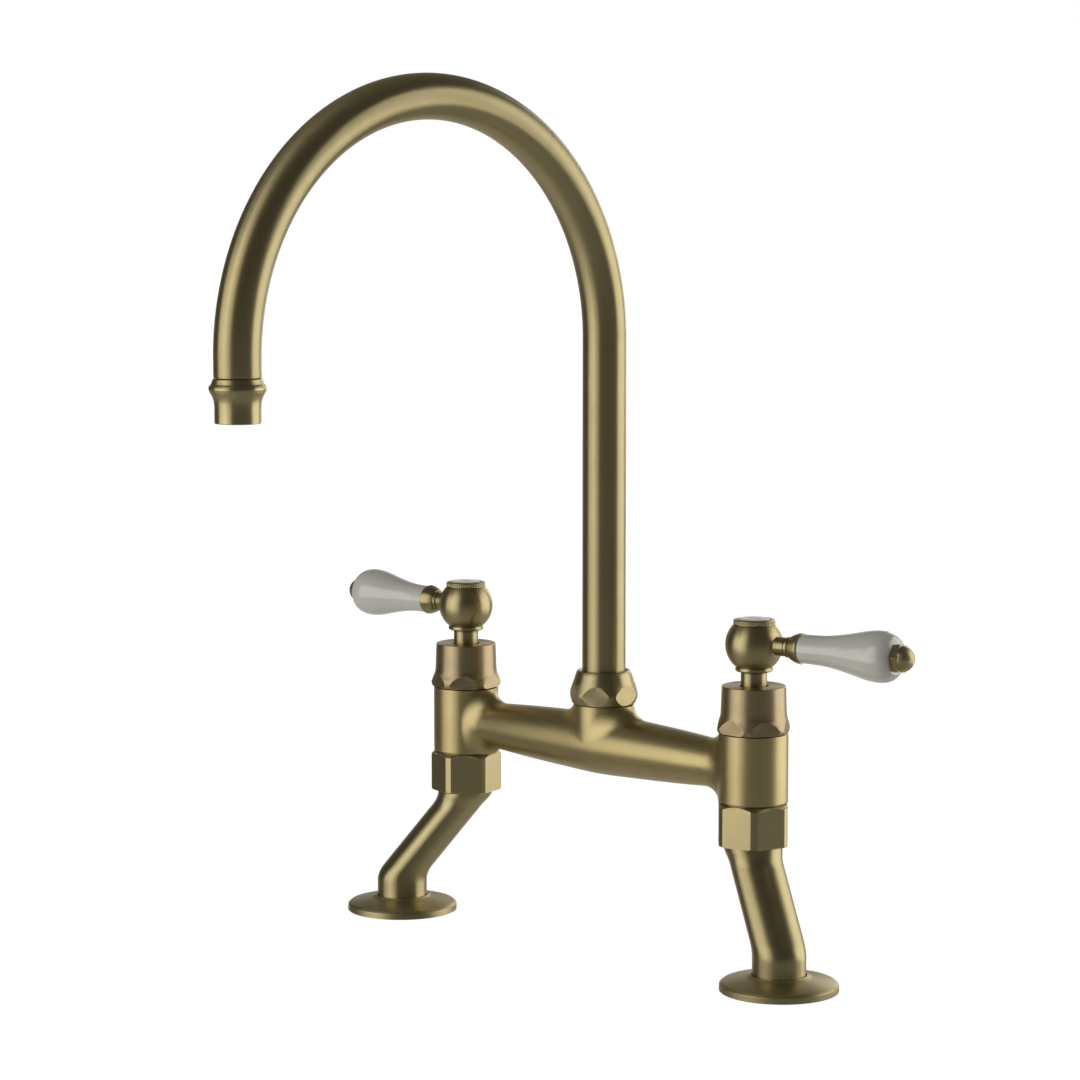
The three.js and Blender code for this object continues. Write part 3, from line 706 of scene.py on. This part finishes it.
# ------------------------------------------------------------------- spout
def make_spout():
    b = Builder()
    radius = REACH / 2
    low, end = 131.0, 298.5
    path = []  # (y, z, tangent angle, arc length)
    for z in np.linspace(low, ARCH_Z, 60):
        path.append((0.0, z, 0.0, z - low))
    top = ARCH_Z - low
    for a in np.linspace(0, math.pi, 361)[1:]:
        path.append((-radius + radius * math.cos(a), ARCH_Z + radius * math.sin(a), a, top + radius * a))
    for z in np.linspace(ARCH_Z, end + 0.3, 5)[1:]:
        path.append((-REACH, z, math.pi, top + radius * math.pi + ARCH_Z - z))
    m = 144
    out_r, in_r = 11.0, 9.4
    rings, s = [], []

    def ring(y, z, a, r, length):
        th = np.arange(m) * TAU / m
        # section axes: X, and the direction in the arch's plane across the path
        u = np.array([1.0, 0, 0])
        w = np.array([0, math.cos(a), math.sin(a)])
        rings.append(np.array([0, y, z]) + r * (np.cos(th)[:, None] * u + np.sin(th)[:, None] * w))
        s.append(length)

    y, z, a, l = path[0]
    ring(y, z, a, in_r, l - 1.6)
    ring(y, z, a, out_r, l)
    for y, z, a, l in path:
        ring(y, z, a, out_r, l + 0.001)
    # rounded lip where the tube meets the outlet
    y, z, a, l = path[-1]
    for k in range(1, 5):
        w = math.pi / 2 * k / 4
        ring(y, z - 0.3 * math.sin(w), a, out_r - 0.3 * (1 - math.cos(w)), l + 0.3 * math.sin(w))
    ring(y, z - 0.3, a, in_r, l + 1.6)
    for y, z, a, l in path[::-1][::6]:
        ring(y, z, a, in_r, 2 * path[-1][3] - l + 3.2)
    V = np.array(rings)
    n = len(V)
    th = np.arange(m) * TAU / m
    faces, uvs = [], []
    for i in range(n):
        i2 = (i + 1) % n
        u1, u2 = s[i] / 60, (s[i2] if i2 else s[-1] + 1.6) / 60
        for j in range(m):
            j2 = (j + 1) % m
            faces.append([i * m + j, i * m + j2, i2 * m + j2, i2 * m + j])
            uvs.append([(u1, j / m), (u1, (j + 1) / m), (u2, (j + 1) / m), (u2, j / m)])
    verts = V.reshape(-1, 3)
    tri = np.array([(f[0], f[k], f[k + 1]) for f in faces for k in (1, 2)])
    vol = np.einsum("ij,ij->", verts[tri[:, 0]], np.cross(verts[tri[:, 1]], verts[tri[:, 2]]))
    if vol < 0:
        faces = [f[::-1] for f in faces]
        uvs = [w[::-1] for w in uvs]
    brush = np.stack([np.repeat(s, m), np.tile(out_r * np.cos(th), n), np.tile(out_r * np.sin(th), n)], 1)
    edge = np.zeros(len(verts))
    b.add(verts, faces, uvs, brush, edge)
    b.make("swan_neck", brass_tube, spout_body, ["spout_tube"], "brass")


make_spout()


def make_outlet():
    there = at(0, -REACH)
    flare = spline([(10.65, 284.6), (10.76, 286.65), (10.96, 288.0), (11.4, 289.35), (12.04, 290.7), (12.77, 292.05), (12.98, 292.6)], 0.2)
    pts = rounded([(9.4, 291.0), (9.4, 277.8, 0.25), (10.7, 277.8, 0.35), (10.65, 284.4)], False)
    belly = rounded([(12.98, 292.6), (13.25, 293.3, 0.5), (13.15, 294.3, 0.6), (12.75, 295.0, 0.3), (12.1, 295.7, 0.5), (11.7, 296.8, 0.6), (11.35, 297.9, 0.3), (10.95, 298.15, 0.12), (8.6, 298.2), (8.6, 306.0, 0.3), (7.2, 306.0, 0.3), (7.2, 291.0), (9.4, 291.0)], False)
    line = np.concatenate([pts, flare, belly[1:]])
    b = Builder().revolve(line, 160, matrix=there)
    b.make("outlet", brass, spout_body, ["outlet_nozzle"], "brass")
    b = Builder().revolve(rounded([(9.0, 278.2, 0.3), (9.0, 290.6), (6.4, 290.6), (6.4, 289.2), (7.9, 289.2), (7.9, 278.2, 0.3)], True), 96, matrix=there)
    b.make("straightener_ring", nylon, spout_body, ["aerator_housing"], "nylon")
    # perforated plate
    curve = bpy.data.curves.new("plate", "CURVE")
    curve.dimensions, curve.fill_mode = "2D", "BOTH"
    curve.extrude, curve.bevel_depth, curve.bevel_resolution = 0.00045, 0.00012, 2

    def circle(cx, cy, r, n):
        s = curve.splines.new("POLY")
        s.points.add(n - 1)
        for i, pt in enumerate(s.points):
            a = TAU * i / n
            pt.co = ((cx + r * math.cos(a)) / 1000, (cy + r * math.sin(a)) / 1000, 0, 1)
        s.use_cyclic_u = True

    circle(0, 0, 7.4, 72)
    for q in range(-4, 5):
        for r in range(-4, 5):
            x, y = 1.72 * (q + r / 2), 1.72 * r * math.sqrt(3) / 2
            if math.hypot(x, y) < 6.4:
                circle(x, y, 0.5, 14)
    tmp = bpy.data.objects.new("plate", curve)
    bpy.context.scene.collection.objects.link(tmp)
    bpy.context.view_layer.update()
    mesh = bpy.data.meshes.new_from_object(tmp.evaluated_get(bpy.context.evaluated_depsgraph_get()))
    bpy.data.objects.remove(tmp)
    mesh.name = "outlet_plate"
    mesh.materials.clear()
    mesh.materials.append(steel)
    centre = (RISER + np.array([0, -REACH, 280.0])) / 1000
    mesh.transform(Matrix.Translation(Vector(centre)))
    o = bpy.data.objects.new("outlet_plate", mesh)
    bpy.context.scene.collection.objects.link(o)
    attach(o, spout_body)
    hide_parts("aerator_screen")


make_outlet()


# ------------------------------------------------------------ swivel collar
line = rounded([
    (13.5, 122.6), (15.75, 122.6, 0.25), (16.1, 123.1, 0.6), (16.7, 124.6, 2.0), (17.25, 126.3, 1.2), (17.38, 127.3, 0.5), (17.3, 128.3, 0.5), (14.05, 138.1, 0.4),
    (13.55, 139.0, 0.3), (13.1, 139.4, 0.15), (12.2, 139.4, 0.2), (11.5, 138.8, 0.2), (11.5, 134.5), (13.5, 134.5),
], True)
Builder().revolve(graded(line, 0.22), flats=(15.85, -1.0, 0.05)).make("collar_nut", brass, fixed_body, ["spout_collar_nut"], "brass")


# ------------------------------------------------------- valves and levers
BALL_R, BALL_Z = 14.1, 162.95


def make_valve(prefix, side, bell_face, lever_deg, acorn_face):
    here = at(side * PILLAR_X)
    body = prefix + "_handle"
    # bell shroud: flared foot with milled flats, drawn-in waist, straight cap
    foot = spline([(17.9, 123.3), (17.55, 124.5), (16.95, 125.9), (16.45, 127.4), (16.15, 129.2), (16.0, 131.5), (15.92, 134.0)], 0.16)
    lower = rounded([(13.4, 120.1), (17.5, 120.1, 0.35), (18.05, 121.0, 0.5), (18.35, 122.3, 0.8), (17.9, 123.3)], False)
    upper = rounded([(15.92, 134.0), (15.65, 142.8, 0.45), (7.25, 142.8, 0.25), (7.25, 138.6), (13.4, 138.6), (13.4, 120.1)], False)
    line = graded(np.concatenate([lower, foot[1:], upper[1:]]), 0.3)
    Builder().revolve(line, flats=(16.5, bell_face, 0.05), matrix=here).make(
        prefix + "_bell", bronze, fixed_body, [prefix + "_bell_shroud"], "bronze")

    # hub: stem, bead and ball
    turn = at(side * PILLAR_X, turn=lever_deg)
    ball = []
    for a in np.linspace(math.asin((152.9 - BALL_Z) / BALL_R), math.asin((172.4 - BALL_Z) / BALL_R), 64):
        ball.append((BALL_R * math.cos(a), BALL_Z + BALL_R * math.sin(a)))
    stem = rounded([
        (3.9, 139.2), (6.4, 139.2), (6.4, 149.6, 0.15), (6.6, 149.75), (8.7, 149.95, 0.4), (9.15, 150.5, 0.45), (9.15, 151.4, 0.45),
        (8.85, 152.1, 0.15), (9.35, 152.5, 0.2), ball[0],
    ], False)
    top = rounded([ball[-1], (10.3, 172.6, 0.1), (7.4, 172.65), (7.4, 167.2), (2.1, 167.2), (2.1, 158.8), (3.9, 158.8), (3.9, 139.2)], False)
    line = np.concatenate([graded(stem, 1.0), np.array(ball)[1:-1], top])
    Builder().revolve(line, 128, matrix=turn).make(prefix + "_hub", brass, body, [prefix + "_handle_hub"], "brass")

    # straight-knurled ring
    teeth = 56

    def knurl(th, z, r):
        depth = (r > 9.95) * max(0.0, min(1.0, (z - 173.0) / 0.12, (174.92 - z) / 0.1))
        cut = (0.5 - 0.5 * np.cos(th * teeth)) ** 3
        return r - 0.2 * depth * cut, 0.55 * depth * cut

    line = rounded([
        (6.0, 169.8), (7.0, 169.8), (7.0, 172.75), (9.95, 172.75, 0.1), (10.2, 172.95, 0.08), (10.2, 174.95, 0.1),
        (9.85, 175.15, 0.12), (8.7, 175.45, 0.4), (8.05, 175.5, 0.12), (8.05, 173.7), (6.0, 173.7),
    ], True)
    Builder().revolve(graded(line, 0.35), teeth * 12, matrix=turn, knurl=knurl).make(
        prefix + "_knurled_ring", brass, body, [prefix + "_index_ring"], "brass", sharp=50)

    dome = spline([(0.0, 175.88), (2.5, 175.85), (5.0, 175.75), (6.9, 175.6)], 0.4)
    line = np.concatenate([dome, rounded([(6.9, 175.6), (7.55, 175.5, 0.3), (7.8, 175.0, 0.3), (7.8, 174.0, 0.1), (0.0, 174.0)], False)[1:]])
    Builder().revolve(line, 96, closed=False, matrix=turn).make(
        prefix + "_disc", porcelain, body, [prefix + "_index_disc"], "porcelain")

    # plain word for the supply, fired into the glaze of the disc
    font = bpy.data.curves.new(prefix + "_word", "FONT")
    font.body = "HOT" if side < 0 else "COLD"
    font.align_x, font.align_y = "CENTER", "CENTER"
    font.extrude, font.resolution_u = 0.01, 3
    tmp = bpy.data.objects.new(prefix + "_word", font)
    bpy.context.scene.collection.objects.link(tmp)
    bpy.context.view_layer.update()
    mesh = bpy.data.meshes.new_from_object(tmp.evaluated_get(bpy.context.evaluated_depsgraph_get()))
    bpy.data.objects.remove(tmp)
    mesh.name = prefix + "_word"
    bm = bmesh.new()
    bm.from_mesh(mesh)
    bmesh.ops.remove_doubles(bm, verts=bm.verts, dist=1e-5)
    word_turn = at(side * PILLAR_X, turn=lever_deg + (180 if side < 0 else 0))
    for v in bm.verts:
        x, y = 2.7 * v.co.x, 2.7 * v.co.y
        z = np.interp(math.hypot(x, y), dome[:, 0], dome[:, 1]) + (0.03 if v.co.z > 0 else 0.012)
        v.co = (word_turn[:3, :3] @ (x, y, z) + word_turn[:3, 3] + RISER) / 1000
    bmesh.ops.recalc_face_normals(bm, faces=bm.faces)
    bm.to_mesh(mesh)
    bm.free()
    mesh.materials.clear()
    mesh.materials.append(ink)
    o = bpy.data.objects.new(prefix + "_word", mesh)
    bpy.context.scene.collection.objects.link(o)
    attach(o, body)

    # lever: neck with its grooves and flared ferrule
    lever = lever_matrix(side, lever_deg)
    inner = np.linspace(0, 4.6, 9)
    seat = [(r, 0.05 + math.sqrt(BALL_R**2 - r * r)) for r in inner]
    cup = spline([(5.35, 21.4), (6.1, 22.6), (6.8, 24.3), (7.35, 25.9), (7.58, 26.8)], 0.25)
    neck = np.concatenate([rounded([
        seat[-1], (4.6, 18.6, 0.1), (4.2, 18.85, 0.1), (4.2, 19.15, 0.1), (5.05, 19.35, 0.25), (5.05, 20.7, 0.25), (4.7, 20.95, 0.1), (4.75, 21.15, 0.1),
        tuple(cup[0]),
    ], False), cup[1:-1], rounded([
        tuple(cup[-1]), (7.66, 27.5, 0.2), (7.5, 27.75, 0.1), (2.4, 27.75), (2.4, 17.2), (0.0, 17.2),
    ], False)])
    line = np.concatenate([np.array(seat), graded(neck, 0.8)[1:]])
    Builder().revolve(line, 112, closed=False, matrix=lever).revolve(
        [(0.0, 6.4), (3.1, 6.4), (3.1, 14.2), (0.0, 14.2)], 48, closed=False, matrix=lever,
    ).make(prefix + "_neck", brass, body, [prefix + "_lever_neck"], "brass")

    skin = spline([
        (7.0, 28.2), (7.05, 30.0), (7.12, 34.0), (7.27, 38.0), (7.6, 42.0), (8.12, 46.0), (8.8, 50.0), (9.57, 54.0), (10.45, 58.0),
        (11.33, 62.0), (11.95, 65.2), (12.34, 68.4), (12.44, 71.2), (12.2, 74.0), (11.45, 76.6), (10.4, 78.2), (9.2, 79.15),
    ], 0.4)
    line = np.concatenate([
        rounded([(2.4, 27.9), (6.85, 27.9, 0.2), tuple(skin[0])], False), skin[1:-1],
        rounded([tuple(skin[-1]), (8.1, 79.65, 0.5), (7.0, 79.7), (2.4, 79.7), (2.4, 27.9)], False),
    ])
    Builder().revolve(line, 128, matrix=lever).make(prefix + "_grip", porcelain, body, [prefix + "_lever_grip"], "porcelain")

    # acorn nut: chamfered hexagon, groove, dome
    hexa = rounded([(2.3, 80.0), (7.1, 80.0, 0.15), (7.5, 80.3, 0.15), (7.5, 82.85, 0.15), (7.1, 83.15, 0.15), (2.3, 83.2)], True)
    cap = [(6.5 * math.cos(a), 82.1 + 6.5 * math.sin(a)) for a in np.linspace(0.15, math.pi / 2, 30)]
    cap[-1] = (0.0, 88.6)
    line = np.concatenate([[(0.0, 82.6), (6.3, 82.6)], np.array(cap)])
    b = Builder().revolve(graded(hexa, 0.25), flats=(6.5, acorn_face, 0.08), matrix=lever)
    b.revolve(line, 96, closed=False, matrix=lever)
    b.make(prefix + "_acorn", brass, body, [prefix + "_acorn_nut"], "brass")


make_valve("left", -1, 12.9, LEVERS["left"], 9.0)
make_valve("right", 1, -29.1, LEVERS["right"], -9.0)


# ------------------------------------------- unions, cranked legs, flanges
def make_support(prefix, side, nut_face, leg_deg):
    here = at(side * PILLAR_X)
    line = rounded([
        (14.8, 64.75, 0.15), (17.9, 64.75, 0.2), (18.4, 65.2, 0.25), (18.4, 83.6, 0.4), (16.7, 85.2, 0.25), (15.8, 85.2), (15.8, 68.0), (14.8, 68.0),
    ], True)
    Builder().revolve(graded(line, 0.3), flats=(16.7, nut_face, 0.10), matrix=here).make(
        prefix + "_nut", brass, fixed_body, [prefix + "_union_nut"], "brass")

    a = math.radians(leg_deg)
    top_z, low_z, soft = 62.2, 19.6, 4.2
    slope = FOOT_OFFSET / (top_z - low_z)

    def ramp(t):
        if t <= -soft:
            return 0.0
        if t >= soft:
            return slope * t
        return slope * (t + soft) ** 2 / (4 * soft)

    def offset(z):
        d = ramp(top_z - z) - ramp(low_z - z)
        return d * math.cos(a), d * math.sin(a)

    tip = spline([(13.05, 54.5), (13.05, 56.4), (13.3, 58.2), (13.85, 60.6), (14.25, 62.4), (14.4, 64.0)], 0.3)
    line = np.concatenate([
        rounded([(10.3, 17.0), (10.3, 0.6), (13.05, 0.6, 0.3), (13.05, 54.5)], False), tip[1:],
        rounded([tuple(tip[-1]), (14.4, 68.3), (15.3, 68.3), (15.3, 73.7), (8.6, 73.7), (8.6, 18.0), (10.3, 17.0)], False)[1:],
    ])
    Builder().revolve(graded(line, 0.7), 128, matrix=here, offset=offset).make(
        prefix + "_leg", brass, fixed_body, [prefix + "_cranked_leg"], "brass")

    foot = at(side * PILLAR_X + FOOT_OFFSET * math.cos(a), FOOT_OFFSET * math.sin(a))
    cone = spline([(27.4, 4.15), (24.5, 4.95), (21.5, 5.65), (18.5, 6.2), (16.3, 6.6), (15.0, 7.0), (14.2, 7.5)], 0.4)
    line = np.concatenate([
        rounded([(26.6, 0.0), (28.9, 0.0, 0.25), (28.75, 3.0, 0.55), (27.4, 4.15)], False), cone[1:],
        rounded([tuple(cone[-1]), (13.9, 7.85, 0.15), (13.5, 7.9, 0.12), (13.5, 1.8), (26.6, 1.8), (26.6, 0.0)], False)[1:],
    ])
    Builder().revolve(graded(line, 1.0), 192, matrix=foot).make(
        prefix + "_flange", brass_flange, fixed_body, [prefix + "_deck_flange"], "brass")
    Builder().revolve(rounded([(13.7, 0.02, 0.3), (26.1, 0.02, 0.3), (26.1, 1.5, 0.3), (13.7, 1.5, 0.3)], True), 128, matrix=foot).make(
        prefix + "_gasket", rubber, fixed_body, [prefix + "_deck_gasket"], "rubber")


make_support("left", -1, 15.2, LEGS["left"][1])
make_support("right", 1, -16.6, LEGS["right"][1])

# ------------------------------------------------ inner pieces stay as made
looks = {
    "spout_tail": raw_brass, "spout_oring_lower": rubber, "spout_oring_upper": rubber, "swivel_washer": nylon,
    "cartridge_body": raw_brass, "seat_seal": rubber, "fixed_disc": alumina, "turning_disc": alumina, "valve_spindle": raw_brass,
    "handle_screw": steel, "lever_tie_rod": steel, "union_washer": fibre,
}
for name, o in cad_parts.items():
    short = name.replace("left_", "").replace("right_", "")
    if short in looks:
        for s in o.material_slots:
            s.material = looks[short]
        if not o.material_slots:
            o.data.materials.append(looks[short])

# ------------------------------------------------------------------- stage
PHI, PITCH = math.radians(45.29), math.radians(6.54)
toward = np.array([math.sin(PHI), -math.cos(PHI), 0.0])  # from the tap to the camera
right = np.array([math.cos(PHI), math.sin(PHI), 0.0])
eye = (toward * 1680.93 + right * -32.35 + np.array([0, 0, 398.24]) + RISER) / 1000
look = Vector((-toward[0] * math.cos(PITCH), -toward[1] * math.cos(PITCH), -math.sin(PITCH)))
camera = bpy.data.objects.new("camera", bpy.data.cameras.new("camera"))
bpy.context.scene.collection.objects.link(camera)
camera.location = eye
camera.rotation_mode = "QUATERNION"
camera.rotation_quaternion = look.to_track_quat("-Z", "Y")
camera.data.sensor_width = 36.0
camera.data.lens = 3354.85 / 1080 * 36.0
camera.data.clip_start, camera.data.clip_end = 0.05, 60.0
bpy.context.scene.camera = camera


def plane(name, size, z, material, **seen):
    mesh = bpy.data.meshes.new(name)
    h = size / 2
    mesh.from_pydata([(-h, -h, z), (h, -h, z), (h, h, z), (-h, h, z)], [], [(0, 1, 2, 3)])
    mesh.materials.append(material)
    o = bpy.data.objects.new(name, mesh)
    bpy.context.scene.collection.objects.link(o)
    for k, v in seen.items():
        setattr(o, k, v)
    return o


def floor_material(name, albedo, glow, far_glow=None):
    m, t, b = new_material(name)
    b.inputs["Base Color"].default_value = (albedo, albedo * 0.995, albedo * 0.985, 1)
    b.inputs["Roughness"].default_value = 0.9
    b.inputs["Specular IOR Level"].default_value = 0.0
    b.inputs["Emission Color"].default_value = (1, 1, 1, 1)
    b.inputs["Emission Strength"].default_value = glow
    if far_glow is not None:
        where = node(t, "ShaderNodeTexCoord").outputs["Object"]
        away = node(t, "ShaderNodeVectorMath", operation="LENGTH")
        t.links.new(where, away.inputs[0])
        t.links.new(mapped(t, away.outputs["Value"], 0.4, 1.6, glow, far_glow), b.inputs["Emission Strength"])
    return m


plane("floor", 60, -0.0001, floor_material("pale_floor", 0.3, 0.93, 1.02), visible_glossy=False, visible_diffuse=False, visible_transmission=False, visible_shadow=False)

centre = (RISER + np.array([0, -60, 0])) / 1000


def softbox(name, azimuth, distance, width, low, high, radiance, colour=(1, 1, 1)):
    """An upright softbox; azimuth 0 is the camera's side, + to its right."""
    a = math.radians(azimuth)
    d = math.cos(a) * toward + math.sin(a) * right
    height = high - low
    data = bpy.data.lights.new(name, "AREA")
    data.shape, data.size, data.size_y = "RECTANGLE", width, height
    data.energy = radiance * math.pi * width * height
    data.color = colour
    o = bpy.data.objects.new(name, data)
    bpy.context.scene.collection.objects.link(o)
    o.location = centre + d * distance + np.array([0, 0, (low + high) / 2])
    o.rotation_mode = "QUATERNION"
    o.rotation_quaternion = Vector(-d).to_track_quat("-Z", "Y")
    o.visible_camera = False
    return o


softbox("left_softbox", -61, 2.0, 0.78, -0.6, 2.3, 1.66)
softbox("left_rear", -83, 2.0, 0.78, -0.4, 1.3, 1.36)
softbox("left_fill", -41, 2.0, 0.63, -0.6, 2.3, 0.96)
softbox("right_softbox", 102.5, 1.6, 1.67, -0.42, 1.3, 1.66)
softbox("right_rear", 152, 2.0, 0.75, 0.15, 1.35, 1.5)

# a low card on the floor in front, seen only in the reflections
corners = [(0.1, -0.12), (1.4, -0.5), (1.4, 1.2), (0.5, 1.2), (0.1, 0.25)]
mesh = bpy.data.meshes.new("front_card")
mesh.from_pydata([tuple(RISER / 1000 + u * toward + v * right - np.array([0, 0, 0.002])) for u, v in corners], [], [(0, 1, 2, 3, 4)])
mesh.materials.append(floor_material("front_card", 0.0, 0.24))
card = bpy.data.objects.new("front_card", mesh)
bpy.context.scene.collection.objects.link(card)
card.visible_camera = card.visible_shadow = card.visible_diffuse = False

world = bpy.data.worlds.new("studio")
bpy.context.scene.world = world
world.use_nodes = True
t = world.node_tree
t.nodes.clear()
out = t.nodes.new("ShaderNodeOutputWorld")
way = node(t, "ShaderNodeTexCoord").outputs["Generated"]


def along(direction):
    n = node(t, "ShaderNodeVectorMath", operation="DOT_PRODUCT")
    t.links.new(way, n.inputs[0])
    n.inputs[1].default_value = tuple(direction)
    return n.outputs["Value"]


def total(*parts):
    level = parts[0]
    for part in parts[1:]:
        level = math_node(t, "ADD", level, part)
    return level


# a dim room: a pale strip of wall behind, a pale floor below, a grey ceiling
front, side, up = along(toward), along(right), along((0, 0, 1))
strip = math_node(t, "MULTIPLY", mapped(t, front, -1.0, -0.86, 0.44, 0.0), mapped(t, side, -0.35, 0.35, 0.8, 1.7))
wall = total(strip, mapped(t, front, -0.86, -0.55, 0.07, 0.0), 0.058)
ceiling = total(mapped(t, front, -1.0, -0.5, 0.2, 0.0), mapped(t, side, -0.7, 0.0, 0.05, 0.0), 0.075)
raised = mapped(t, up, 0.4, 0.75, 0.0, 1.0)
level = math_node(t, "ADD", wall, math_node(t, "MULTIPLY", math_node(t, "SUBTRACT", ceiling, wall), raised))
ground = math_node(t, "MULTIPLY", mapped(t, up, -0.8, -0.12, 0.27, 0.0), mapped(t, front, -0.6, 0.6, 1.3, 1.0))
rear = math_node(t, "MULTIPLY", mapped(t, up, -0.2, 0.0, 0.2, 0.0), mapped(t, front, -0.9, -0.6, 1.0, 0.0))
ground = math_node(t, "ADD", ground, rear)
level = math_node(t, "ADD", level, ground)
room = node(t, "ShaderNodeBackground")
room.inputs[0].default_value = (1.0, 0.98, 0.95, 1)
t.links.new(level, room.inputs[1])
white = node(t, "ShaderNodeBackground")
white.inputs[0].default_value = (1, 1, 1, 1)
white.inputs[1].default_value = 1.0
pick = node(t, "ShaderNodeMixShader")
t.links.new(node(t, "ShaderNodeLightPath").outputs["Is Camera Ray"], pick.inputs[0])
t.links.new(room.outputs[0], pick.inputs[1])
t.links.new(white.outputs[0], pick.inputs[2])
t.links.new(pick.outputs[0], out.inputs[0])

bpy.context.scene.view_settings.view_transform = "Standard"
bpy.context.scene.view_settings.look = "None"
